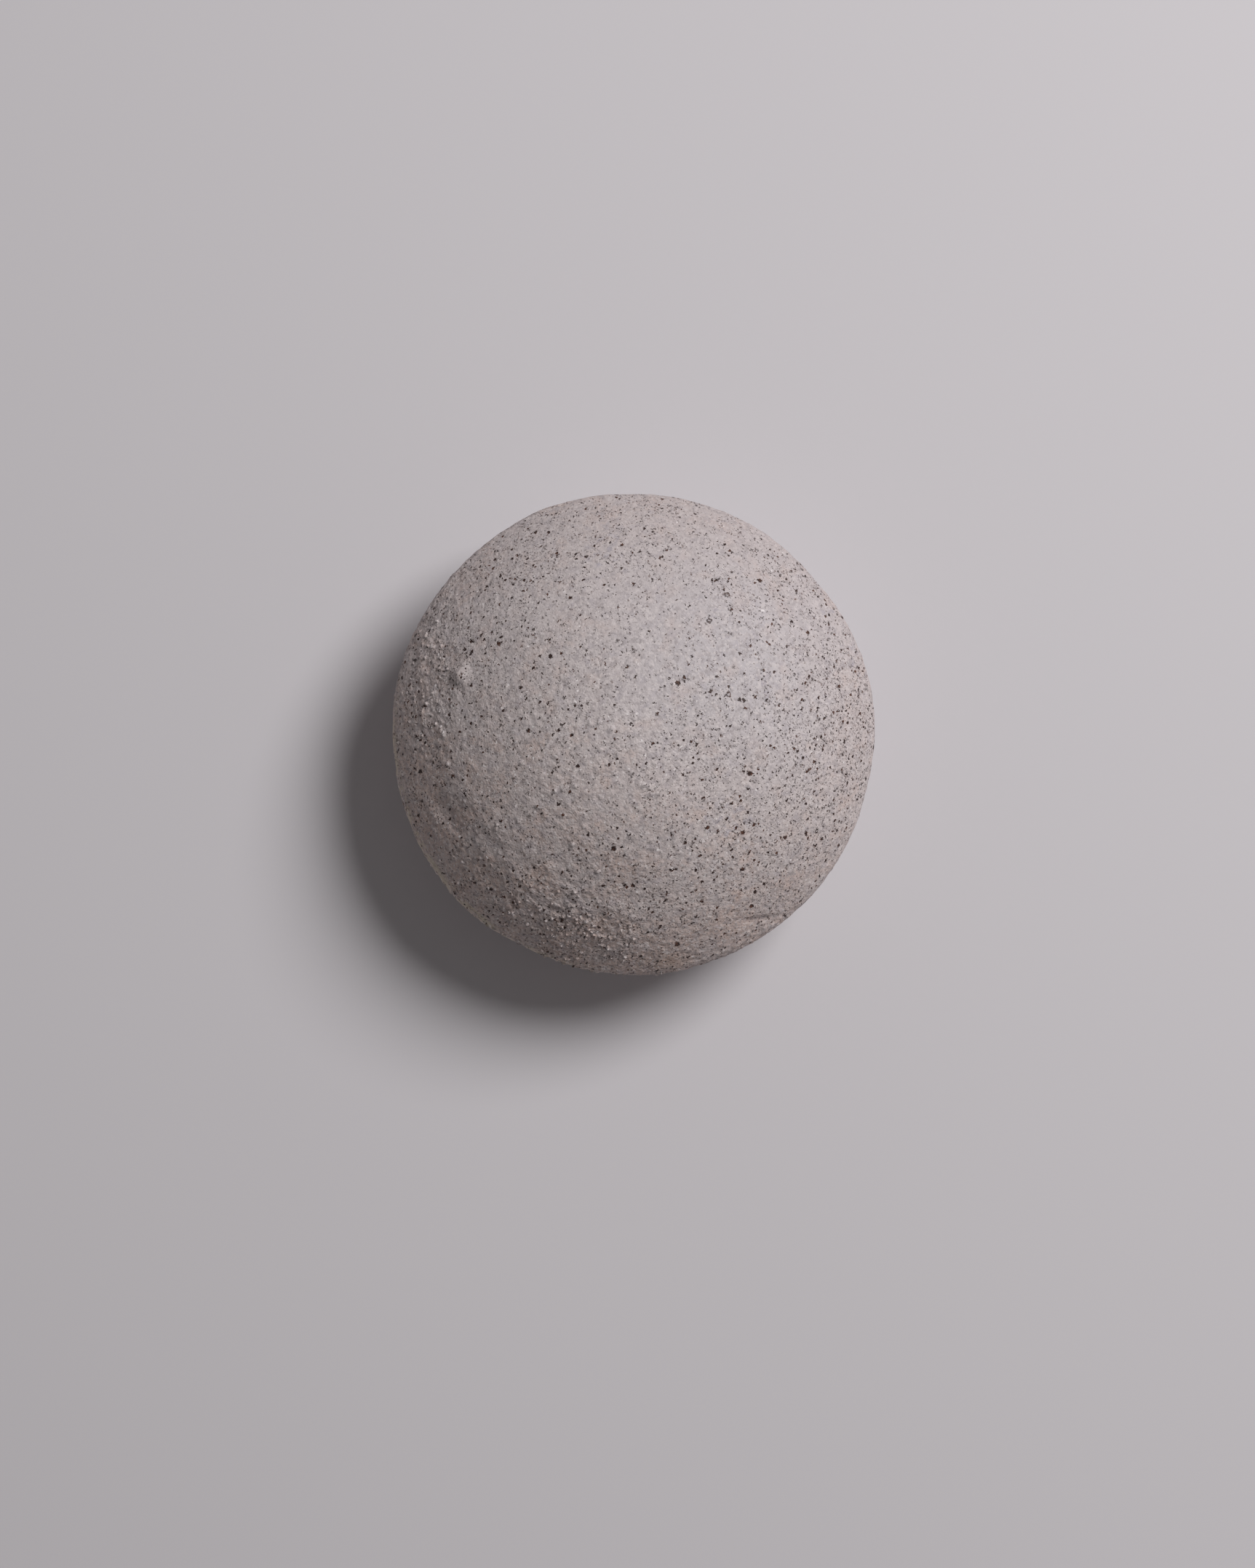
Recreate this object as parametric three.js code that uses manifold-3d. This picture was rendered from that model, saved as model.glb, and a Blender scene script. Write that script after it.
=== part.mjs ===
// A fine-grained granodiorite cobble, worn to a low dome with a firm rim all round.
// It lies crown up on a small flat spot, and its underside curves in from the rim.
// Millimetres, +Z up, origin in the middle of the flat spot. Seen from above, +X is to the
// right and +Y is away. Plan angles are in degrees, anticlockwise from +X, and a lean is the
// angle in degrees between the surface's normal and straight up.
import * as THREE from "three";
import { mergeVertices } from "three/addons/utils/BufferGeometryUtils.js";
import { ImprovedNoise } from "three/addons/math/ImprovedNoise.js";
import Module from "manifold-3d";

const wasm = await Module();
wasm.setup();

// The stone's profile is four arcs, each tangent to the next, given by their radii.
const DIAMETER = 150;
const RIM_LEVEL = 36; // height of the widest place
const CROWN = 94; // the dome
const EDGE = 6; // where the dome turns down into the rim
const SHOULDER = 28; // where the rim turns under
const BELLY = 144; // the underside

// How finely the surface is laid out, and the share of it that each arc gets.
const GEODESIC_DETAIL = 16;
const SHARES = { crown: 0.56, edge: 0.06, shoulder: 0.14, belly: 0.24 };

// Slow unevenness, as wavelength and height. The underside is less evenly worn.
const BROAD_SWELL = { wavelength: 34, height: 0.55 };
const FINE_SWELL = { wavelength: 13, height: 0.22 };
const BELLY_SWELL = { wavelength: 38, height: 2.2 };

// The outline stands in and out, and the rim rises and falls, by these waves round the stone.
const OUT_OF_ROUND = [
  { waves: 2, height: 0.18, from: 10 },
  { waves: 3, height: 0.2, from: 100 },
  { waves: 5, height: 0.16, from: 20 },
  { waves: 9, height: 0.1, from: 47 },
];
const RIM_SWAY = [
  { waves: 1, height: 0.9, from: 70 },
  { waves: 3, height: 0.6, from: 15 },
];

// Where the rim is worn back or chipped, or stands out a little (depth under 0).
const RIM_CHIPS = [
  { at: 43, width: 15, depth: 1.1 },
  { at: 91, width: 12, depth: 0.4 },
  { at: 115, width: 12, depth: -0.45 },
  { at: 187, width: 4, depth: 0.3 },
  { at: 203, width: 3, depth: 0.5 },
  { at: 218, width: 4, depth: 0.5 },
  { at: 242, width: 7, depth: 0.8 },
  { at: 252, width: 4, depth: 0.7 },
  { at: 281, width: 20, depth: -1 },
  { at: 286, width: 5, depth: 0.4 },
];

// Old fracture faces below the rim, worn nearly flat: how each is turned, and how deep it cuts.
const WORN_FACES = [
  { at: 18, lean: 122, depth: 2.2 },
  { at: 75, lean: 134, depth: 2.6 },
  { at: 128, lean: 118, depth: 1.6 },
  { at: 196, lean: 132, depth: 1.8 },
  { at: 252, lean: 116, depth: 1.8 },
  { at: 310, lean: 138, depth: 2.8 },
];
const FACE_FLATNESS = 0.85;

// Places on the crown that stand up (rise over 0) or dip (rise under 0), each an oval in plan.
const LANDFORMS = [
  { name: "blister", x: -52.8, y: 17.4, long: 3.4, wide: 3, turn: 60, rise: 1.1 },
  { name: "flake scar", x: -55, y: -25, long: 10, wide: 3.4, turn: 128, rise: -0.4 },
  { name: "ridge beyond the scar", x: -60, y: -31, long: 12, wide: 2.6, turn: 126, rise: 0.3 },
  { name: "lower dip", x: -43, y: -44, long: 9, wide: 3.5, turn: 140, rise: -0.3 },
  { name: "left dip", x: -62, y: -4, long: 9, wide: 4, turn: 95, rise: -0.3 },
  { name: "upper left ridge", x: -60, y: 33, long: 9, wide: 2.5, turn: 62, rise: 0.3 },
  { name: "ripple crest", x: 6, y: 2, long: 12, wide: 3, turn: 45, rise: 0.3 },
  { name: "ripple trough", x: 11, y: -2, long: 12, wide: 3, turn: 45, rise: -0.3 },
  { name: "low place by the crease", x: 40, y: -57, long: 8, wide: 3, turn: 12, rise: -0.4 },
];

// Coarse ground, where the weathered surface is lumpier, as ovals in plan.
const LOWER_GROUND = { x: -20, y: -55, long: 24, wide: 11, turn: 162 };
const LEFT_GROUND = { x: -58, y: 22, long: 20, wide: 8, turn: 75 };
const FLANK_GROUND = { x: -40, y: -32, long: 22, wide: 10, turn: 135 };
const COARSE_GROUND = [LOWER_GROUND, LEFT_GROUND, FLANK_GROUND];
const COARSE_SWELL = { wavelength: 7, height: 0.35 };

// Hard grains left proud of the coarse ground, and pits where softer ones have weathered out.
// Each is a crystal of a size between these, with this share of it clear of the surface.
const SEED = 41;
const WHOLE_CROWN = { x: 0, y: 0, long: 62, wide: 62, turn: 0 };
const LOWER_GRAINS = { count: 64, smallest: 1, largest: 2, clear: 0.4, field: LOWER_GROUND };
const LEFT_GRAINS = { count: 14, smallest: 1, largest: 1.5, clear: 0.35, field: LEFT_GROUND };
const FLANK_GRAINS = { count: 14, smallest: 1, largest: 1.5, clear: 0.35, field: FLANK_GROUND };
const PITS = { count: 22, smallest: 0.9, largest: 1.8, clear: 0.35, field: WHOLE_CROWN };

const RADIUS = DIAMETER / 2;
const noise = new ImprovedNoise();
const { clamp, degToRad, radToDeg, lerp, euclideanModulo, seededRandom } = THREE.MathUtils;

// The profile's arcs from the top down: centre, radius, the leans in radians between which
// each runs, and its share of the surface.
function profileArcs() {
  const edgeCentre = RADIUS - EDGE;
  const shoulderCentre = RADIUS - SHOULDER;
  const crownEnd = Math.asin(edgeCentre / (CROWN - EDGE));
  const bellyStart = Math.PI - Math.asin(shoulderCentre / (BELLY - SHOULDER));
  const crownZ = RIM_LEVEL - Math.cos(crownEnd) * (CROWN - EDGE);
  const bellyZ = RIM_LEVEL - Math.cos(bellyStart) * (BELLY - SHOULDER);
  const widest = Math.PI / 2;
  return [
    { r: 0, z: crownZ, radius: CROWN, start: 0, end: crownEnd, share: SHARES.crown },
    { r: edgeCentre, z: RIM_LEVEL, radius: EDGE, start: crownEnd, end: widest, share: SHARES.edge },
    {
      r: shoulderCentre,
      z: RIM_LEVEL,
      radius: SHOULDER,
      start: widest,
      end: bellyStart,
      share: SHARES.shoulder,
    },
    { r: 0, z: bellyZ, radius: BELLY, start: bellyStart, end: Math.PI, share: SHARES.belly },
  ];
}

const ARCS = profileArcs();

// The lean that lies this share of the way over the surface, from the crown to the foot.
function leanAt(share) {
  let left = share;
  for (const arc of ARCS) {
    if (left <= arc.share || arc === ARCS.at(-1)) {
      const part = Math.min(1, left / arc.share);
      return Math.acos(lerp(Math.cos(arc.start), Math.cos(arc.end), part));
    }
    left -= arc.share;
  }
}

// The outward normal at this plan angle and lean, both in radians.
function normalAt(angle, lean) {
  const sideways = Math.sin(lean);
  return new THREE.Vector3(sideways * Math.cos(angle), sideways * Math.sin(angle), Math.cos(lean));
}

// The point of the plain profile, turned to this plan angle, where its normal has this lean.
function profilePoint(angle, lean) {
  const arc = ARCS.find(({ end }) => lean <= end) ?? ARCS.at(-1);
  const r = arc.r + arc.radius * Math.sin(lean);
  const z = arc.z + arc.radius * Math.cos(lean);
  return new THREE.Vector3(r * Math.cos(angle), r * Math.sin(angle), z);
}

// How strongly an oval place is felt at a plan point: 1 in its middle, fading to 0.
function within(oval, x, y) {
  const turn = degToRad(oval.turn);
  const dx = x - oval.x;
  const dy = y - oval.y;
  const along = (dx * Math.cos(turn) + dy * Math.sin(turn)) / oval.long;
  const across = (dy * Math.cos(turn) - dx * Math.sin(turn)) / oval.wide;
  return Math.exp(-along * along - across * across);
}

function swell({ wavelength, height }, p) {
  return height * noise.noise(p.x / wavelength + 7.3, p.y / wavelength + 2.9, p.z / wavelength);
}

function crownRelief(p) {
  const forms = LANDFORMS.map((form) => form.rise * within(form, p.x, p.y));
  const coarse = COARSE_GROUND.map((oval) => within(oval, p.x, p.y));
  const lumps = swell(COARSE_SWELL, p) * Math.max(...coarse);
  return forms.reduce((sum, rise) => sum + rise, lumps);
}

function wavesAt(waves, angle) {
  return waves.reduce((sum, w) => sum + w.height * Math.cos(degToRad(w.waves * (angle - w.from))), 0);
}

// How deep the rim is chipped at a plan angle.
function chipsAt(angle) {
  const bites = RIM_CHIPS.map((chip) => {
    const off = euclideanModulo(angle - chip.at + 180, 360) - 180;
    const distance = degToRad(off) * RADIUS;
    return chip.depth * Math.exp(-((distance / chip.width) ** 2));
  });
  return bites.reduce((sum, bite) => sum + bite, 0);
}

// Brings a point that stands outside a worn face nearly back to it.
function wearToFace(point, face) {
  const angle = degToRad(face.at);
  const lean = degToRad(face.lean);
  const normal = normalAt(angle, lean);
  const limit = normal.dot(profilePoint(angle, lean)) - face.depth;
  const outside = Math.max(0, normal.dot(point) - limit);
  point.addScaledVector(normal, -FACE_FLATNESS * outside);
}

// The stone's surface and its normal at this plan angle and lean, both in radians.
function surfaceAt(angle, lean) {
  const point = profilePoint(angle, lean);
  const normal = normalAt(angle, lean);
  const sideways = Math.sin(lean);
  const degrees = radToDeg(angle);
  const crown = clamp(4 * normal.z, 0, 1);
  const belly = clamp(-2 * normal.z, 0, 1);
  const rise =
    swell(BROAD_SWELL, point) +
    swell(FINE_SWELL, point) +
    belly * swell(BELLY_SWELL, point) +
    crown * crownRelief(point) +
    sideways ** 4 * (wavesAt(OUT_OF_ROUND, degrees) - chipsAt(degrees));
  point.addScaledVector(normal, rise);
  point.z += sideways ** 2 * wavesAt(RIM_SWAY, degrees);
  WORN_FACES.forEach((face) => wearToFace(point, face));
  return { point, normal };
}

// A closed geometry as a solid that can be joined and cut.
function solidOf(geometry) {
  const bare = geometry.clone();
  bare.deleteAttribute("normal");
  bare.deleteAttribute("uv");
  const merged = mergeVertices(bare, 1e-4);
  return new wasm.Manifold(
    new wasm.Mesh({
      numProp: 3,
      vertProperties: merged.attributes.position.array,
      triVerts: new Uint32Array(merged.index.array),
    }),
  );
}

function geometryOf(solid) {
  const mesh = solid.getMesh();
  const geometry = new THREE.BufferGeometry();
  geometry.setAttribute("position", new THREE.BufferAttribute(mesh.vertProperties, 3));
  geometry.setIndex(new THREE.BufferAttribute(mesh.triVerts, 1));
  geometry.computeVertexNormals();
  return geometry;
}

// The whole stone before its foot is flat: a geodesic ball drawn onto the worn profile.
function wornBody() {
  const ball = new THREE.IcosahedronGeometry(1, GEODESIC_DETAIL);
  const position = ball.attributes.position;
  const spot = new THREE.Vector3();
  for (let i = 0; i < position.count; i += 1) {
    spot.fromBufferAttribute(position, i).normalize();
    const { point } = surfaceAt(Math.atan2(spot.y, spot.x), leanAt((1 - spot.z) / 2));
    position.setXYZ(i, point.x, point.y, point.z);
  }
  return solidOf(ball);
}

// Everything below the level that the stone rests on.
function ground() {
  const depth = 20;
  return solidOf(new THREE.BoxGeometry(DIAMETER, DIAMETER, depth).translate(0, 0, -depth / 2));
}

// A small lopsided crystal at a plan point of the crown, mostly sunk in it.
function crystal(x, y, size, clear) {
  const { point, normal } = surfaceAt(Math.atan2(y, x), Math.asin(Math.hypot(x, y) / CROWN));
  const shape = new THREE.IcosahedronGeometry(size / 2, 0);
  shape.rotateX(seededRandom() * Math.PI);
  shape.rotateZ(seededRandom() * Math.PI);
  shape.scale(1, lerp(0.7, 1, seededRandom()), 0.9);
  const centre = point.addScaledVector(normal, size * (clear - 0.5));
  return solidOf(shape.translate(centre.x, centre.y, centre.z));
}

// Crystals of mixed sizes scattered over an oval field, as one solid.
function scattered({ count, smallest, largest, clear, field }) {
  const turn = degToRad(field.turn);
  const crystals = Array.from({ length: count }, () => {
    const out = Math.sqrt(seededRandom());
    const round = 2 * Math.PI * seededRandom();
    const along = out * Math.cos(round) * field.long;
    const across = out * Math.sin(round) * field.wide;
    const x = field.x + along * Math.cos(turn) - across * Math.sin(turn);
    const y = field.y + along * Math.sin(turn) + across * Math.cos(turn);
    return crystal(x, y, lerp(smallest, largest, seededRandom() ** 2), clear);
  });
  return wasm.Manifold.union(crystals);
}

function granodiorite() {
  seededRandom(SEED);
  const grains = [LOWER_GRAINS, LEFT_GRAINS, FLANK_GRAINS].map(scattered);
  const grown = wasm.Manifold.union([wornBody(), ...grains]);
  const solid = grown.subtract(scattered(PITS)).subtract(ground());
  const material = new THREE.MeshStandardMaterial({ color: 0xa89d9b, roughness: 0.92, metalness: 0 });
  const mesh = new THREE.Mesh(geometryOf(solid), material);
  mesh.name = "granodiorite";
  return mesh;
}

const stone = new THREE.Group();
stone.add(granodiorite());

export default stone;
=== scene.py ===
import math

import bpy
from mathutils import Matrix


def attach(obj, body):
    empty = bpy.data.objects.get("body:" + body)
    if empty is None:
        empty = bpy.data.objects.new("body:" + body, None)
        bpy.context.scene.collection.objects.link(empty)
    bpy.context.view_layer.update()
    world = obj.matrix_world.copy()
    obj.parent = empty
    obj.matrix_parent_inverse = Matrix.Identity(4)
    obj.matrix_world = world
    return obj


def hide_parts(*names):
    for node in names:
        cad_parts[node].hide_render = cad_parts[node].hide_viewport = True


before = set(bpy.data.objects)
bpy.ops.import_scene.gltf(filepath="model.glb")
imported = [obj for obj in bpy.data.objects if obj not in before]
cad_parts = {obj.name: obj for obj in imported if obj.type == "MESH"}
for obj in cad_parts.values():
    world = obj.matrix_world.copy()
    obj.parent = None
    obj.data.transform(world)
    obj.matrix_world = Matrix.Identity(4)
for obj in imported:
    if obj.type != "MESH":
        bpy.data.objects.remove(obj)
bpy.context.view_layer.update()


# The camera looks straight down from a metre above the rim. The stone lies a little above the
# middle of the frame, at the size that it has in the photograph.
MM = 0.001
PHOTO_WIDE = 1725
PHOTO_HIGH = 2156
STONE_MIDDLE_PX = (870, 1009)
STONE_RADIUS_PX = 331
STONE_RADIUS = 75 * MM
RIM_LEVEL = 36 * MM
CAMERA_DISTANCE = 1.0
SENSOR_HIGH = 36.0

photo_scale = STONE_RADIUS / STONE_RADIUS_PX
camera_data = bpy.data.cameras.new("camera")
camera_data.sensor_fit = "VERTICAL"
camera_data.sensor_height = SENSOR_HIGH
camera_data.lens = SENSOR_HIGH * CAMERA_DISTANCE / (PHOTO_HIGH * photo_scale)
camera = bpy.data.objects.new("camera", camera_data)
camera.location = (
    (PHOTO_WIDE / 2 - STONE_MIDDLE_PX[0]) * photo_scale,
    (STONE_MIDDLE_PX[1] - PHOTO_HIGH / 2) * photo_scale,
    RIM_LEVEL + CAMERA_DISTANCE,
)
bpy.context.collection.objects.link(camera)
bpy.context.scene.camera = camera


# One broad soft light stands well off to the upper right, half way up. A faint even light from
# all round fills the shadow.
LIGHT_ANGLE = math.radians(40)
LIGHT_HEIGHT = math.radians(47)
LIGHT_DISTANCE = 2.4
LIGHT_WIDTH = 1.15
LIGHT_POWER = 45.1
LIGHT_COLOUR = (1.0, 0.985, 0.985)
FILL_COLOUR = (1.0, 0.97, 0.97, 1)
FILL_STRENGTH = 0.118

light_data = bpy.data.lights.new("window light", "AREA")
light_data.shape = "DISK"
light_data.size = LIGHT_WIDTH
light_data.energy = LIGHT_POWER
light_data.color = LIGHT_COLOUR
light = bpy.data.objects.new("window light", light_data)
light.location = (
    LIGHT_DISTANCE * math.cos(LIGHT_HEIGHT) * math.cos(LIGHT_ANGLE),
    LIGHT_DISTANCE * math.cos(LIGHT_HEIGHT) * math.sin(LIGHT_ANGLE),
    LIGHT_DISTANCE * math.sin(LIGHT_HEIGHT),
)
light.rotation_euler = light.location.to_track_quat("Z", "Y").to_euler()
bpy.context.collection.objects.link(light)

world = bpy.data.worlds.new("room")
world.use_nodes = True
world.node_tree.nodes["Background"].inputs["Color"].default_value = FILL_COLOUR
world.node_tree.nodes["Background"].inputs["Strength"].default_value = FILL_STRENGTH
bpy.context.scene.world = world
bpy.context.scene.view_settings.view_transform = "Standard"


# The floor is a plain pale sheet, far wider than the view. It is painted matt, and belongs to
# the stage, not to the stone.
FLOOR_SIZE = 6.0
FLOOR_COLOUR = (0.73, 0.705, 0.73, 1)
FLOOR_ROUGHNESS = 0.8

bpy.ops.object.select_all(action="DESELECT")
bpy.ops.mesh.primitive_plane_add(size=FLOOR_SIZE)
floor = bpy.context.object
floor.name = "floor"
floor_paint = bpy.data.materials.new("floor paint")
floor_paint.use_nodes = True
floor_shader = floor_paint.node_tree.nodes["Principled BSDF"]
floor_shader.inputs["Base Color"].default_value = FLOOR_COLOUR
floor_shader.inputs["Roughness"].default_value = FLOOR_ROUGHNESS
floor.data.materials.append(floor_paint)


# The stone is one solid of fine-grained granodiorite, worn to a dome above a firm rim. Its skin
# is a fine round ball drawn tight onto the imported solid, smoothed, and then weathered: slow
# lumps, coarse ground with hard grains left proud of it, small pits, and a plain flat foot.
BALL_RADIUS = 84 * MM
BALL_FLATNESS = 0.6
BALL_SPLITS = 7
SMOOTHING = 0.5
SMOOTHING_PASSES = 7
LAST_SMOOTHING_PASSES = 2


def apply_modifier(piece, kind, **settings):
    modifier = piece.modifiers.new(kind.lower(), kind)
    for name, value in settings.items():
        setattr(modifier, name, value)
    bpy.context.view_layer.objects.active = piece
    bpy.ops.object.modifier_apply(modifier=modifier.name)


bpy.ops.object.select_all(action="DESELECT")
bpy.ops.mesh.primitive_ico_sphere_add(subdivisions=BALL_SPLITS, radius=BALL_RADIUS)
stone = bpy.context.object
stone.name = "weathered_stone"
bpy.ops.object.mode_set(mode="EDIT")
bpy.ops.transform.resize(value=(1, 1, BALL_FLATNESS), center_override=(0, 0, 0))
bpy.ops.transform.translate(value=(0, 0, RIM_LEVEL))
bpy.ops.mesh.normals_make_consistent(inside=False)
bpy.ops.object.mode_set(mode="OBJECT")

packed_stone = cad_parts["granodiorite"]
apply_modifier(stone, "SHRINKWRAP", target=packed_stone, wrap_method="NEAREST_SURFACEPOINT")
apply_modifier(stone, "SMOOTH", factor=SMOOTHING, iterations=SMOOTHING_PASSES)


# From here on, places and sizes on the stone are in mm, and turns of ovals in degrees. The stone
# is worn smooth towards one side, the side that faces the light, and has coarse ground in these
# ovals of its plan.
WORN_AND_LIT_SIDE = (0.72, 0.69, 0)
WORN_FROM = 0
FINE_BELOW_RIM = 2
COARSE_GROUND = (
    {"strength": 1.0, "x": -20, "y": -60, "long": 25, "wide": 13, "turn": 160},
    {"strength": 0.6, "x": -62, "y": 14, "long": 24, "wide": 8, "turn": 82},
    {"strength": 0.45, "x": -47, "y": -40, "long": 20, "wide": 12, "turn": 133},
    {"strength": 0.35, "x": -14, "y": -36, "long": 24, "wide": 14, "turn": 120},
    {"strength": 0.35, "x": 2, "y": -3, "long": 15, "wide": 12, "turn": 140},
)
STRONG_ENOUGH = 0.5
COARSE_REACH = 0.9


def on_rough_side(centre):
    """Whether a place is on the dome, away from the side that is worn smooth."""
    towards_lit_side = centre.x * WORN_AND_LIT_SIDE[0] + centre.y * WORN_AND_LIT_SIDE[1]
    on_the_dome = centre.z > RIM_LEVEL - FINE_BELOW_RIM * MM
    return on_the_dome and towards_lit_side < WORN_FROM * MM


def on_coarse_ground(centre):
    """Whether a place of the rough side is in an oval where the ground is strongly coarse."""
    for oval in COARSE_GROUND:
        turn = math.radians(oval["turn"])
        off_x = centre.x / MM - oval["x"]
        off_y = centre.y / MM - oval["y"]
        along = (off_x * math.cos(turn) + off_y * math.sin(turn)) / oval["long"]
        across = (off_y * math.cos(turn) - off_x * math.sin(turn)) / oval["wide"]
        if oval["strength"] > STRONG_ENOUGH and math.hypot(along, across) < COARSE_REACH:
            return on_rough_side(centre)
    return False


# The skin is laid out finer where it has more relief.
for needs_finer in (on_rough_side, on_coarse_ground):
    bpy.ops.object.mode_set(mode="EDIT")
    bpy.ops.mesh.select_mode(type="FACE")
    bpy.ops.mesh.select_all(action="DESELECT")
    bpy.ops.object.mode_set(mode="OBJECT")
    for face in stone.data.polygons:
        face.select = needs_finer(face.center)
    bpy.ops.object.mode_set(mode="EDIT")
    bpy.ops.mesh.subdivide(number_cuts=1)
    bpy.ops.mesh.select_all(action="SELECT")
    bpy.ops.mesh.quads_convert_to_tris()
    bpy.ops.object.mode_set(mode="OBJECT")
apply_modifier(stone, "SMOOTH", factor=SMOOTHING, iterations=LAST_SMOOTHING_PASSES)


def feed(tree, socket, value):
    """Gives a socket a link where the value is another node's output, or else a plain value."""
    if isinstance(value, bpy.types.NodeSocket):
        tree.links.new(value, socket)
    else:
        socket.default_value = value


def add_node(tree, kind, inputs, **settings):
    node = tree.nodes.new(kind)
    for name, value in settings.items():
        setattr(node, name, value)
    for key, value in inputs.items():
        feed(tree, node.inputs[key], value)
    return node


def reckon(tree, operation, *values):
    """One step of arithmetic on numbers."""
    node = add_node(tree, "ShaderNodeMath", dict(enumerate(values)), operation=operation)
    return node.outputs[0]


def add_up(tree, values):
    total = values[0]
    for value in values[1:]:
        total = reckon(tree, "ADD", total, value)
    return total


def times(tree, *values):
    product = values[0]
    for value in values[1:]:
        product = reckon(tree, "MULTIPLY", product, value)
    return product


def fade(tree, value, low, high, at_low=0.0, at_high=1.0):
    """A smooth change from one number to another while the value goes from low to high."""
    ends = {"From Min": low, "From Max": high, "To Min": at_low, "To Max": at_high}
    inputs = {"Value": value, **ends}
    return add_node(tree, "ShaderNodeMapRange", inputs, interpolation_type="SMOOTHSTEP").outputs[0]


def vector_step(tree, operation, *values):
    """One step of arithmetic on places, giving a place."""
    inputs = dict(enumerate(values))
    return add_node(tree, "ShaderNodeVectorMath", inputs, operation=operation).outputs["Vector"]


def measure(tree, operation, *values):
    """A number worked out from places, such as a length."""
    inputs = dict(enumerate(values))
    return add_node(tree, "ShaderNodeVectorMath", inputs, operation=operation).outputs["Value"]


def turned_by(tree, place, degrees):
    turning = {"Vector": place, "Angle": math.radians(degrees)}
    return add_node(tree, "ShaderNodeVectorRotate", turning, rotation_type="Z_AXIS").outputs[0]


def flattened(tree, place):
    """The place in plan, whatever its height."""
    return vector_step(tree, "MULTIPLY", place, (1, 1, 0))


OVAL_EDGE = 1.6


def oval_at(tree, place, x, y, long, wide, turn=0):
    """1 in the middle of an oval of the plan, falling to 0 well outside it."""
    moved = vector_step(tree, "SUBTRACT", place, (x, y, 0))
    turned = turned_by(tree, moved, -turn)
    squeezed = vector_step(tree, "MULTIPLY", turned, (1 / long, 1 / wide, 0))
    return fade(tree, measure(tree, "LENGTH", squeezed), 0, OVAL_EDGE, 1, 0)


def noise_at(tree, place, size, detail=2.0, roughness=0.5):
    """Cloudy noise round 0, whose lumps are about this size."""
    inputs = {"Vector": place, "Scale": 1 / size, "Detail": detail, "Roughness": roughness}
    noise = add_node(tree, "ShaderNodeTexNoise", inputs)
    return reckon(tree, "SUBTRACT", noise.outputs[0], 0.5)


def crystals_at(tree, place, spacing, metric="EUCLIDEAN"):
    """Crystals scattered this far apart: the distance to the nearest, and its own two random
    numbers."""
    where = {"Vector": place, "Scale": 1 / spacing}
    voronoi = add_node(tree, "ShaderNodeTexVoronoi", where, distance=metric)
    distance = times(tree, voronoi.outputs["Distance"], spacing)
    draw = add_node(tree, "ShaderNodeTexWhiteNoise", {"Vector": voronoi.outputs["Color"]})
    split = add_node(tree, "ShaderNodeSeparateXYZ", {0: draw.outputs["Color"]}).outputs
    return distance, split[0], split[1]


# The relief of the skin. Single marks have a height above the skin, or below it where it is
# under 0; the rest is noise and scattered crystals.
MARKS = (
    {"rise": 0.55, "x": -52.8, "y": 17.4, "long": 2.8, "wide": 2.4, "turn": 60},
    {"rise": -0.3, "x": -54.2, "y": 14.4, "long": 3.6, "wide": 1.3, "turn": 150},
    {"rise": -0.45, "x": 39, "y": -57.3, "long": 6, "wide": 0.9, "turn": 4},
    {"rise": 0.2, "x": 38, "y": -55.6, "long": 6, "wide": 1.2, "turn": 6},
    {"rise": 0.25, "x": -60, "y": 38, "long": 6, "wide": 1.4, "turn": 62},
    {"rise": 0.25, "x": -66, "y": 24, "long": 6, "wide": 1.3, "turn": 80},
    {"rise": 0.25, "x": -64.5, "y": 6, "long": 6, "wide": 1.4, "turn": 95},
    {"rise": -0.35, "x": -56, "y": -25, "long": 7, "wide": 2.0, "turn": 126},
    {"rise": 0.3, "x": -59.5, "y": -27.5, "long": 7, "wide": 1.2, "turn": 126},
    {"rise": -0.6, "x": -37, "y": -52, "long": 2.4, "wide": 1.1, "turn": 120},
    {"rise": -0.6, "x": -24, "y": -54.2, "long": 2.8, "wide": 1.1, "turn": 160},
)
SKIN_NOISE = {"size": 1.6, "height": 0.44}
DIMPLES = {"size": 2.5, "height": 0.4}
SLOW_LUMPS = {"size": 4.4, "height": 0.38}
COARSE_LUMPS = {"size": 2.5, "height": 0.85}
RIM_WEAR = {"size": 3.0, "height": 0.7}
PROUD_GRAINS = {"spacing": 1.7, "radius": 1.05, "height": 0.55, "share": 0.9}
PITS = {"spacing": 4.2, "radius": 0.75, "depth": 0.3, "share": 0.4}
SMALLEST = 0.5
FOOT_TOP = (1.5, 8)
DOME_FROM = (27, 35)
RIM_REACH = (70, 74.5)
RIM_HEIGHT = (26, 33)
LUMPY_SIDE = (-0.8, -0.6, 0)
LUMPY_RANGE = (-30, 60, 0.5, 1)
WEAR_WIDTH = 40
LEFT_WHERE_WORN = 0.35
GRAIN_SHOULDER = (0.6, 1.0)
PIT_WALL = (0.3, 1.1)
HOLLOW_RANGE = (-0.35, -0.06)


def without(values, left_out):
    return {name: value for name, value in values.items() if name != left_out}


def coarse_share(tree, place, on_dome):
    """How coarse the ground is at a place, from 0 to 1."""
    coarse = 0.0
    for oval in COARSE_GROUND:
        felt = times(tree, oval_at(tree, place, **without(oval, "strength")), oval["strength"])
        coarse = reckon(tree, "MAXIMUM", felt, coarse)
    return times(tree, coarse, on_dome)


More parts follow.
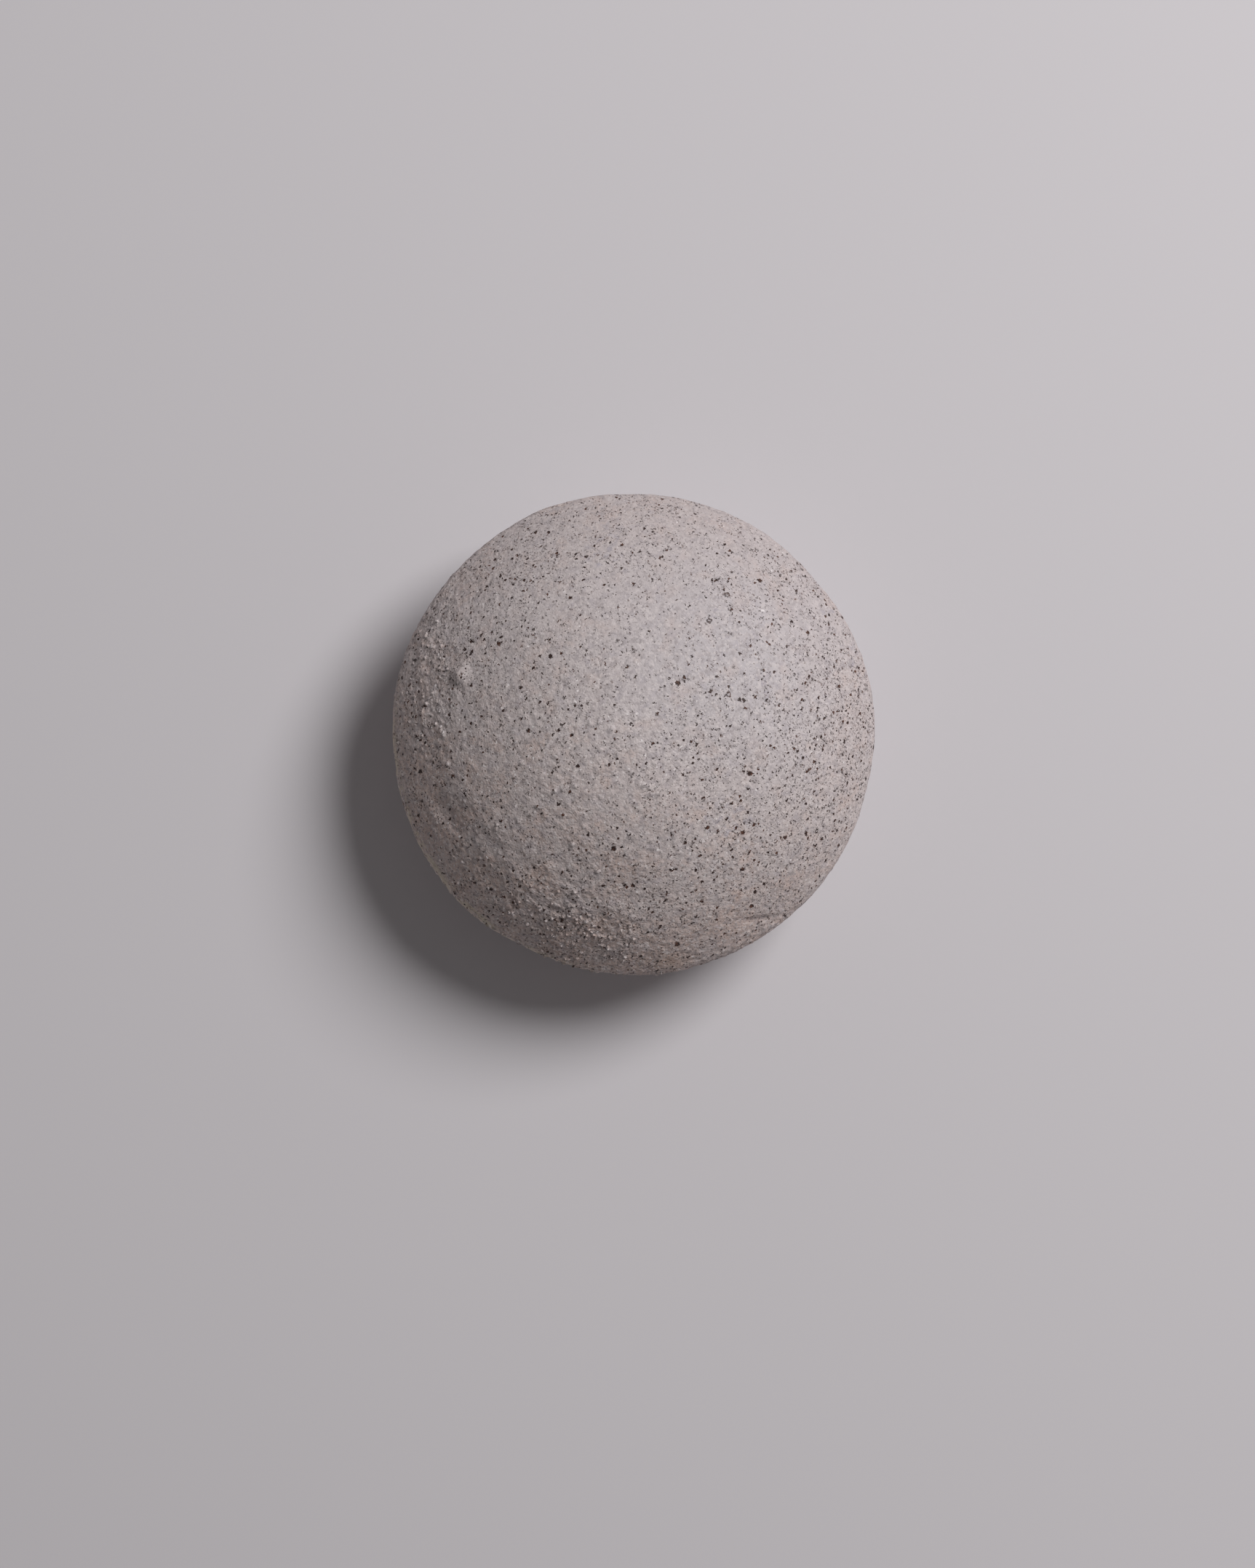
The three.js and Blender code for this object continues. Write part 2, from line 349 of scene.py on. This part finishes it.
def scattered(tree, place, kind, share, wall, metric="EUCLIDEAN"):
    """1 on crystals or in pits of a kind, falling to 0 over its wall."""
    distance, size, chance = crystals_at(tree, place, kind["spacing"], metric)
    smallest = kind["radius"] * SMALLEST
    radius = reckon(tree, "MULTIPLY_ADD", size, kind["radius"] - smallest, smallest)
    inside = fade(tree, reckon(tree, "DIVIDE", distance, radius), *wall, 1, 0)
    return times(tree, inside, reckon(tree, "LESS_THAN", chance, share))


def weathering():
    """The modifier that raises the relief, and stores where it is coarse, proud or hollow."""
    tree = bpy.data.node_groups.new("weathering", "GeometryNodeTree")
    tree.interface.new_socket("Skin", in_out="INPUT", socket_type="NodeSocketGeometry")
    tree.interface.new_socket("Skin", in_out="OUTPUT", socket_type="NodeSocketGeometry")
    skin = add_node(tree, "NodeGroupInput", {}).outputs[0]
    position = add_node(tree, "GeometryNodeInputPosition", {}).outputs[0]
    normal = add_node(tree, "GeometryNodeInputNormal", {}).outputs[0]
    place = vector_step(tree, "MULTIPLY", position, (1 / MM, 1 / MM, 1 / MM))

    # Which part of the stone a place is in.
    level = add_node(tree, "ShaderNodeSeparateXYZ", {0: place}).outputs[2]
    above_foot = fade(tree, level, *FOOT_TOP)
    on_dome = fade(tree, level, *DOME_FROM)
    coarse = coarse_share(tree, place, on_dome)
    lumpy = fade(tree, measure(tree, "DOT_PRODUCT", place, LUMPY_SIDE), *LUMPY_RANGE)
    reach = measure(tree, "LENGTH", flattened(tree, place))
    at_rim = times(tree, fade(tree, reach, *RIM_REACH), fade(tree, level, *RIM_HEIGHT))
    towards_lit_side = measure(tree, "DOT_PRODUCT", place, WORN_AND_LIT_SIDE)
    worn_end = WORN_FROM + WEAR_WIDTH
    unworn = fade(tree, towards_lit_side, WORN_FROM, worn_end, 1, LEFT_WHERE_WORN)

    # What stands up from the skin or is sunk in it.
    proud_share = times(tree, coarse, PROUD_GRAINS["share"])
    proud = scattered(tree, place, PROUD_GRAINS, proud_share, GRAIN_SHOULDER, "MANHATTAN")
    sunk = scattered(tree, place, PITS, PITS["share"], PIT_WALL)
    coarse_noise = noise_at(tree, place, COARSE_LUMPS["size"], detail=3.0, roughness=0.6)
    fine_relief = [
        times(tree, noise_at(tree, place, SKIN_NOISE["size"]), unworn, SKIN_NOISE["height"]),
        times(tree, noise_at(tree, place, DIMPLES["size"]), unworn, DIMPLES["height"]),
        times(tree, coarse_noise, coarse, COARSE_LUMPS["height"]),
        times(tree, noise_at(tree, place, RIM_WEAR["size"]), at_rim, RIM_WEAR["height"]),
        times(tree, sunk, -PITS["depth"]),
    ]
    for mark in MARKS:
        felt = oval_at(tree, place, **without(mark, "rise"))
        fine_relief.append(times(tree, felt, on_dome, mark["rise"]))
    fine_rise = add_up(tree, fine_relief)
    slow_lumps = noise_at(tree, place, SLOW_LUMPS["size"])
    slow_rise = times(tree, slow_lumps, lumpy, SLOW_LUMPS["height"])
    proud_rise = times(tree, proud, PROUD_GRAINS["height"])
    rise = times(tree, add_up(tree, [fine_rise, slow_rise, proud_rise]), above_foot, MM)
    # Where the relief is low: the material paints shade there, with some grime.
    hollow = fade(tree, fine_rise, *HOLLOW_RANGE, 1, 0)
    hollow = times(tree, hollow, reckon(tree, "SUBTRACT", 1, proud))

    for name, value in (("coarse", coarse), ("proud", proud), ("hollow", hollow)):
        keep = {"Geometry": skin, "Name": name, "Value": value}
        skin = add_node(tree, "GeometryNodeStoreNamedAttribute", keep, domain="POINT").outputs[0]
    raised = add_node(tree, "ShaderNodeVectorMath", {0: normal, "Scale": rise}, operation="SCALE")
    move = {"Geometry": skin, "Offset": raised.outputs["Vector"]}
    moved = add_node(tree, "GeometryNodeSetPosition", move)
    add_node(tree, "NodeGroupOutput", {0: moved.outputs[0]})
    return tree


apply_modifier(stone, "NODES", node_group=weathering())
bpy.ops.object.select_all(action="DESELECT")
stone.select_set(True)
bpy.ops.object.shade_smooth()


# The colours of the rock's crystals and stains, with painted shade, highlight and glints, and
# where its tint changes.
PALE = (0.643, 0.578, 0.573, 1)
COOL_PALE = (0.619, 0.577, 0.593, 1)
MILK_WHITE = (0.80, 0.73, 0.72, 1)
# Painted glints: the near-white colour of specks where small crystals would catch the light.
GLINT_WHITE = (0.93, 0.875, 0.87, 1)
GREY_QUARTZ = (0.42, 0.375, 0.38, 1)
PINK = (0.655, 0.525, 0.482, 1)
LILAC_GREY = (0.47, 0.43, 0.468, 1)
# Painted shade, with some grime, for the hollows of the relief.
HOLLOW_SHADE_AND_GRIME = (0.24, 0.195, 0.195, 1)
RIM_HIGHLIGHT_YELLOW = (0.72, 0.63, 0.52, 1)
RUST = (0.42, 0.25, 0.15, 1)
BLACK_MICA = (0.045, 0.027, 0.024, 1)
BROWN_MICA = (0.12, 0.055, 0.038, 1)

COOL_GROUND = {"x": 34, "y": 26, "long": 44, "wide": 34, "turn": 40}
WARM_SIDE = (-0.45, -0.9, 0)
WARM_RANGE = (-25, 75, 0, 0.8)
WARM_RIM = (48, 76, 0, 0.35)
WARM_CLOUDS = 14
WARM_CLOUD_RANGE = (-0.15, 0.15, 0.5, 1.2)
PINK_CLOUDS = 7
PINK_CLOUD_RANGE = (0.0, 0.2, 0, 0.35)
LILAC_PATCHES = ((62, 38, 5), (70, 23, 6), (24, 38, 4), (42, 15, 5), (28, -28, 7), (-8, 55, 8))
LILAC_EVERYWHERE = 0.5
LILAC_SMUDGES = 2.8
LILAC_SMUDGE_RANGE = (0.0, 0.2, 0.0, 0.8)
# Painted shade: the grains go greyer on the side that faces the light and towards the top.
UPWARD_SHADE_WAY = (-0.1, 1, 0)
LIT_SIDE_SHADE_RANGE = (0, 72, 0, 0.2)
UPPER_SHADE_RANGE = (-10, 65, 0, 0.2)

SMALL_GRAINS = 0.62
LARGER_GRAINS = 1.15
GREY_SMUDGES = 2.2
GREY_SMUDGE_STRENGTH = 2.2
GREY_GRAIN_RANGE = (0.75, 1.9, 0, 0.72)
MILKY_SMALL_RANGE = (0.7, 1.0, 0, 0.62)
MILKY_LARGER_RANGE = (0.8, 1.0, 0, 0.45)
HOLLOW_SHADE_SHARE = 0.22
PROUD_PALENESS = (0.05, 0.8)

RUST_STAIN = {"x": 12, "y": -70.5, "long": 7, "wide": 2.4, "turn": 8}
RUST_SHARE = 0.3
# Painted highlight: a broken pale yellowish line where the lower-left rim's edge catches bounced
# light.
RIM_HIGHLIGHT_REACH = (72.8, 73.9)
RIM_HIGHLIGHT_HEIGHT = (32, 36)
RIM_HIGHLIGHT_BREAKS = 4
RIM_HIGHLIGHT_BREAK_RANGE = (-0.1, 0.08)
RIM_HIGHLIGHT_SIDE = (-0.82, -0.57, 0)
RIM_HIGHLIGHT_RANGE = (45, 70)
RIM_HIGHLIGHT_SHARE = 0.8


def blend(tree, share, first, second):
    """A mix of two colours: the first where the share is 0, and the second where it is 1."""
    inputs = {0: share, 6: first, 7: second}
    return add_node(tree, "ShaderNodeMix", inputs, data_type="RGBA").outputs[2]


def rock_tint(tree, place, reach):
    """The slow changes of tint: pinker towards the rim, lilac grey in small patches."""
    warm_side = fade(tree, measure(tree, "DOT_PRODUCT", place, WARM_SIDE), *WARM_RANGE)
    warmth = reckon(tree, "ADD", fade(tree, reach, *WARM_RIM), warm_side)
    uneven = fade(tree, noise_at(tree, place, WARM_CLOUDS), *WARM_CLOUD_RANGE)
    cloudy = fade(tree, noise_at(tree, place, PINK_CLOUDS), *PINK_CLOUD_RANGE)
    pink_share = reckon(tree, "ADD", times(tree, warmth, uneven), cloudy)
    pink_share.node.use_clamp = True
    colour = blend(tree, oval_at(tree, place, **COOL_GROUND), PALE, COOL_PALE)
    colour = blend(tree, pink_share, colour, PINK)
    lilac = [oval_at(tree, place, x, y, size, size) for x, y, size in LILAC_PATCHES]
    smudges = fade(tree, noise_at(tree, place, LILAC_SMUDGES), *LILAC_SMUDGE_RANGE)
    lilac_share = times(tree, add_up(tree, [*lilac, LILAC_EVERYWHERE]), smudges)
    lilac_share.node.use_clamp = True
    return blend(tree, lilac_share, colour, LILAC_GREY)


def grain_mosaic(tree, place, towards_lit_side, stored, colour):
    """The mosaic of small pale and grey grains that the rock is made of, with painted shade:
    darker in the hollows, and greyer on the side that faces the light and towards the top. Also
    gives the distance to the nearest small grain's middle."""
    grain_edge, grey_draw, milky_draw = crystals_at(tree, place, SMALL_GRAINS)
    _, larger_grey_draw, larger_milky_draw = crystals_at(tree, place, LARGER_GRAINS)
    smudges = times(tree, noise_at(tree, place, GREY_SMUDGES), GREY_SMUDGE_STRENGTH)
    greyness = add_up(tree, [grey_draw, larger_grey_draw, smudges])
    colour = blend(tree, fade(tree, greyness, *GREY_GRAIN_RANGE), colour, GREY_QUARTZ)
    small_milky = fade(tree, milky_draw, *MILKY_SMALL_RANGE)
    larger_milky = fade(tree, larger_milky_draw, *MILKY_LARGER_RANGE)
    colour = blend(tree, reckon(tree, "MAXIMUM", small_milky, larger_milky), colour, MILK_WHITE)
    # Painted shade, with some grime, darkens the hollows of the relief.
    colour = blend(tree, times(tree, stored["hollow"], HOLLOW_SHADE_SHARE), colour, HOLLOW_SHADE_AND_GRIME)
    paleness = fade(tree, larger_grey_draw, 0, 1, *PROUD_PALENESS)
    colour = blend(tree, times(tree, stored["proud"], paleness), colour, MILK_WHITE)
    # Painted shade: greyer on the side that faces the light, and towards the top.
    lit_side_shade = fade(tree, towards_lit_side, *LIT_SIDE_SHADE_RANGE)
    towards_top = measure(tree, "DOT_PRODUCT", place, UPWARD_SHADE_WAY)
    upper_shade = fade(tree, towards_top, *UPPER_SHADE_RANGE)
    colour = blend(tree, reckon(tree, "ADD", lit_side_shade, upper_shade), colour, GREY_QUARTZ)
    return colour, grain_edge


def rust_and_rim_highlight(tree, place, reach, colour):
    """Rust by the near rim, and a broken pale yellowish line along the rim's lower left: a painted
    highlight where the rim's edge catches bounced light.
    """
    rust_share = times(tree, oval_at(tree, place, **RUST_STAIN), RUST_SHARE)
    colour = blend(tree, rust_share, colour, RUST)
    level = add_node(tree, "ShaderNodeSeparateXYZ", {0: place}).outputs[2]
    # Painted highlight along the edge of the lower-left rim.
    line = times(tree, fade(tree, reach, *RIM_HIGHLIGHT_REACH), fade(tree, level, *RIM_HIGHLIGHT_HEIGHT))
    broken = fade(tree, noise_at(tree, place, RIM_HIGHLIGHT_BREAKS), *RIM_HIGHLIGHT_BREAK_RANGE)
    side = fade(tree, measure(tree, "DOT_PRODUCT", place, RIM_HIGHLIGHT_SIDE), *RIM_HIGHLIGHT_RANGE)
    return blend(tree, times(tree, line, broken, side, RIM_HIGHLIGHT_SHARE), colour, RIM_HIGHLIGHT_YELLOW)


# The flecks of mica crowd together in some round patches and are few in others. Each patch is
# given by its middle, its size and how much it changes the flecks' number.
DENSE_PATCHES = (
    (67, -6, 22, 0.7),
    (8, -63, 24, 0.5),
    (-30, 58, 20, 0.5),
    (-62, 34, 14, 0.35),
    (-42, -52, 18, 0.3),
    (46, -44, 20, 0.4),
    (62, 12, 17, 0.6),
    (60, -18, 14, 0.5),
    (46, 46, 10, 0.4),
    (29, 45, 8, 0.3),
    (30, -42, 16, 0.6),
    (28, -13, 12, 0.5),
    (50, -42, 12, 0.35),
    (5, -60, 16, 0.5),
    (-22, -60, 15, 0.6),
    (-45, -47, 12, 0.3),
    (-58, 22, 14, 0.6),
    (-45, 5, 12, 0.3),
    (-62, -8, 10, 0.5),
    (-42, 52, 10, 0.4),
)
BARE_PATCHES = (
    (26, 24, 20, -0.35),
    (38, 62, 18, -0.2),
    (4, 27, 17, -0.6),
    (27, 27, 9, -0.45),
    (-16, 47, 13, -0.45),
    (20, 59, 10, -0.45),
    (-2, 4, 13, -0.35),
    (-10, -16, 11, -0.35),
    (0, -31, 9, -0.3),
    (-18, 68, 8, -0.4),
    (-58, -38, 9, -0.45),
)
CROWDING_CLOUDS = ((11, 0.25), (3.2, 0.7))
CLOUD_RANGE = (-0.2, 0.2)
PLAIN_DENSITY = 1.0
LEAST_DENSITY = 0.15

# The flecks' sizes and outlines. The largest flecks, given by middle and radius, and the ring-like
# ones stand where they do in the photograph.
SMALL_FLECKS = (
    {"spacing": 0.75, "size": 0.345, "share": 0.39, "edge": 0.05, "depth": 0.9, "varied": 0.5,
     "turn": 20, "stretch": 1.55},
    {"spacing": 1.0, "size": 0.5, "share": 0.33, "edge": 0.05, "depth": 1.0, "varied": 0.5,
     "turn": 65, "stretch": 1.6},
    {"spacing": 1.6, "size": 0.69, "share": 0.26, "edge": 0.06, "depth": 1.0, "varied": 0.0,
     "turn": 130, "stretch": 1.45},
    {"spacing": 3.6, "size": 0.95, "share": 0.11, "edge": 0.08, "depth": 1.0, "varied": 0.0,
     "turn": 0, "stretch": 1.3},
)
LARGE_FLECKS = (
    (-24.9, 22.9, 0.85),
    (-5.9, -35.1, 1.05),
    (13.6, -65.0, 1.1),
    (35.3, -12.5, 1.1),
    (0.0, -46.5, 0.8),
    (-40.8, 27.0, 0.95),
    (-21.8, -57.3, 0.9),
    (-65.5, -11.8, 0.9),
    (-34.0, 13.4, 0.8),
    (37.4, -48.7, 0.8),
    (22.4, -28.8, 0.85),
    (-31.5, 0.5, 0.75),
    (29.7, -21.5, 0.7),
    (63.2, 14.3, 0.75),
    (-30.1, 19.3, 0.75),
    (-67.5, 22.7, 0.75),
    (11.3, -41.7, 0.7),
    (-63.9, 8.2, 0.7),
    (40.1, -46.2, 0.7),
    (0.1, 44.9, 0.6),
    (-14.5, 53.5, 0.6),
    (-16.6, -10.3, 0.75),
    (-49.1, 24.7, 0.75),
    (53.5, 30.8, 0.7),
    (47.1, -56.5, 0.7),
    (-66.4, -25.4, 0.75),
)
LARGE_FLECK_EDGE = (0.6, 0.88)
RING_FLECKS = ((28.5, 41.9), (28.6, 11.3), (23.0, 33.8))
RING_RADIUS = 0.6
RING_EDGE = (0.12, 0.32, 0.9, 0)
RAGGED_SCALE = 1.6
RAGGED_SHIFT = 1.7
SMALLEST_FLECK = 0.4
# Painted glints: white specks where small crystals would catch the light.
GLINT_SPECKS = {"Spacing": 1.1, "Size": 0.4, "Edge": 0.06}
GLINT_SPECK_RANGE = (-30, 20, 0.36, 0.02)
GLINT_SPECK_SHARE = 0.9
BROWN_RANGE = (0.55, 0.9)


def fleck_density(tree, place):
    """How crowded the flecks are at a place, against 1 where they are plain."""
    crowding = [
        times(tree, oval_at(tree, place, x, y, size, size), change)
        for x, y, size, change in DENSE_PATCHES + BARE_PATCHES
    ]
    for size, change in CROWDING_CLOUDS:
        crowding.append(fade(tree, noise_at(tree, place, size), *CLOUD_RANGE, -change, change))
    return reckon(tree, "MAXIMUM", add_up(tree, [*crowding, PLAIN_DENSITY]), LEAST_DENSITY)


def fleck_and_glint_group():
    """Small specks cut by the surface, some larger than others, each with its own tone: the dark
    mica crystals, and also the white specks of painted glints.
    """
    group = bpy.data.node_groups.new("mica flecks and glints", "ShaderNodeTree")
    group.interface.new_socket("Place", in_out="INPUT", socket_type="NodeSocketVector")
    for name in ("Spacing", "Size", "Share", "Edge"):
        group.interface.new_socket(name, in_out="INPUT", socket_type="NodeSocketFloat")
    for name in ("Fleck", "Tone"):
        group.interface.new_socket(name, in_out="OUTPUT", socket_type="NodeSocketFloat")
    given = add_node(group, "NodeGroupInput", {}).outputs
    where = {"Vector": given["Place"], "Scale": reckon(group, "DIVIDE", 1, given["Spacing"])}
    voronoi = add_node(group, "ShaderNodeTexVoronoi", where)
    distance = times(group, voronoi.outputs["Distance"], given["Spacing"])
    draw = add_node(group, "ShaderNodeTexWhiteNoise", {"Vector": voronoi.outputs["Color"]})
    split = add_node(group, "ShaderNodeSeparateColor", {0: draw.outputs["Color"]}).outputs
    squared = times(group, split[0], split[0])
    uneven = reckon(group, "MULTIPLY_ADD", squared, 1 - SMALLEST_FLECK, SMALLEST_FLECK)
    inside = reckon(group, "SUBTRACT", times(group, uneven, given["Size"]), distance)
    full = reckon(group, "DIVIDE", inside, given["Edge"])
    full.node.use_clamp = True
    kept = reckon(group, "LESS_THAN", split[1], given["Share"])
    add_node(group, "NodeGroupOutput", {"Fleck": times(group, full, kept), "Tone": split[2]})
    return group


def ragged(tree, place):
    """The place shifted a little to and fro, which gives what is drawn there a ragged outline."""
    noise = {"Vector": place, "Scale": RAGGED_SCALE, "Detail": 4.0, "Roughness": 0.6}
    wobble = add_node(tree, "ShaderNodeTexNoise", noise).outputs["Color"]
    centred = vector_step(tree, "SUBTRACT", wobble, (0.5, 0.5, 0.5))
    shift = vector_step(tree, "MULTIPLY", centred, (RAGGED_SHIFT, RAGGED_SHIFT, RAGGED_SHIFT))
    return vector_step(tree, "ADD", place, shift)


def dark_flecks(tree, flecks, place, ragged_place):
    """How dark the flecks are at a place, and how brown."""
    density = fleck_density(tree, place)
    dark = 0.0
    tones = []
    for kind in SMALL_FLECKS:
        turned = turned_by(tree, ragged_place, kind["turn"])
        given = {
            "Place": vector_step(tree, "MULTIPLY", turned, (1, kind["stretch"], 1)),
            "Spacing": kind["spacing"],
            "Size": kind["size"],
            "Edge": kind["edge"],
            "Share": times(tree, density, kind["share"]),
        }
        drawn = add_node(tree, "ShaderNodeGroup", given, node_tree=flecks).outputs
        paler = -kind["varied"] * kind["depth"]
        depth = reckon(tree, "MULTIPLY_ADD", drawn["Tone"], paler, kind["depth"])
        dark = reckon(tree, "MAXIMUM", times(tree, drawn["Fleck"], depth), dark)
        tones.append(drawn["Tone"])
    ragged_plan = flattened(tree, ragged_place)
    for x, y, radius in LARGE_FLECKS:
        distance = measure(tree, "DISTANCE", ragged_plan, (x, y, 0))
        full, end = (radius * part for part in LARGE_FLECK_EDGE)
        dark = reckon(tree, "MAXIMUM", fade(tree, distance, full, end, 1, 0), dark)
    for x, y in RING_FLECKS:
        distance = measure(tree, "DISTANCE", ragged_plan, (x, y, 0))
        off = reckon(tree, "ABSOLUTE", reckon(tree, "SUBTRACT", distance, RING_RADIUS))
        dark = reckon(tree, "MAXIMUM", fade(tree, off, *RING_EDGE), dark)
    return dark, fade(tree, tones[1], *BROWN_RANGE)


# How the rock shines, and its finest relief, as a height in shares of the bump's distance.
PLAIN_ROUGHNESS = 0.86
FLECK_ROUGHNESS = 0.5
GLINT_RANGE = (0.2, 0.9)
SPECULAR = 0.25
BUMP_DISTANCE = 0.13 * MM
GRIT_SIZE = 0.55
FINE_DIMPLES = 1.5
FINE_DIMPLE_RANGE = (10, 50, 2.4, 0.8)
GRAIN_DOMING = -0.6
COARSE_GRAIN_DOMING = -1.2
FLECK_SINKING = -0.6


def granodiorite_material():
    material = bpy.data.materials.new("granodiorite")
    material.use_nodes = True
    tree = material.node_tree
    shader = tree.nodes["Principled BSDF"]
    object_place = add_node(tree, "ShaderNodeTexCoord", {}).outputs["Object"]
    scaling = {"Vector": object_place, "Scale": (1 / MM, 1 / MM, 1 / MM)}
    place = add_node(tree, "ShaderNodeMapping", scaling).outputs[0]
    stored = {
        name: add_node(tree, "ShaderNodeAttribute", {}, attribute_name=name).outputs["Fac"]
        for name in ("coarse", "hollow", "proud")
    }
    reach = measure(tree, "LENGTH", flattened(tree, place))
    towards_lit_side = measure(tree, "DOT_PRODUCT", place, WORN_AND_LIT_SIDE)

    # Colour: the rock's tint, its grains with painted shade, its rust, a painted highlight on the
    # rim, white specks as painted glints, and dark flecks over all.
    colour = rock_tint(tree, place, reach)
    colour, grain_edge = grain_mosaic(tree, place, towards_lit_side, stored, colour)
    colour = rust_and_rim_highlight(tree, place, reach, colour)
    flecks = fleck_and_glint_group()
    ragged_place = ragged(tree, place)
    # Painted glints: white specks, fewer on the side that faces the light.
    glint_share = fade(tree, towards_lit_side, *GLINT_SPECK_RANGE)
    given = {"Place": ragged_place, "Share": glint_share, **GLINT_SPECKS}
    glint_specks = add_node(tree, "ShaderNodeGroup", given, node_tree=flecks).outputs["Fleck"]
    colour = blend(tree, times(tree, glint_specks, GLINT_SPECK_SHARE), colour, GLINT_WHITE)
    dark, brown_share = dark_flecks(tree, flecks, place, ragged_place)
    fleck_colour = blend(tree, brown_share, BLACK_MICA, BROWN_MICA)
    feed(tree, shader.inputs["Base Color"], blend(tree, dark, colour, fleck_colour))

    # Shine: matt stone, and flecks that glint a little.
    roughness = fade(tree, dark, *GLINT_RANGE, PLAIN_ROUGHNESS, FLECK_ROUGHNESS)
    feed(tree, shader.inputs["Roughness"], roughness)
    shader.inputs["Specular IOR Level"].default_value = SPECULAR

    # The finest relief: grit, dimples, each small grain a little domed, and flecks a little sunk.
    grit = noise_at(tree, place, GRIT_SIZE, detail=3.0, roughness=0.6)
    doming = reckon(tree, "MULTIPLY_ADD", stored["coarse"], COARSE_GRAIN_DOMING, GRAIN_DOMING)
    dimple_depth = fade(tree, towards_lit_side, *FINE_DIMPLE_RANGE)
    height = add_up(tree, [
        grit,
        times(tree, grain_edge, doming),
        times(tree, noise_at(tree, place, FINE_DIMPLES), dimple_depth),
        times(tree, dark, FLECK_SINKING),
    ])
    relief = {"Height": height, "Distance": BUMP_DISTANCE, "Strength": 1.0}
    bump = add_node(tree, "ShaderNodeBump", relief)
    feed(tree, shader.inputs["Normal"], bump.outputs[0])
    return material


stone.data.materials.clear()
stone.data.materials.append(granodiorite_material())
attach(stone, "root")
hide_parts("granodiorite")
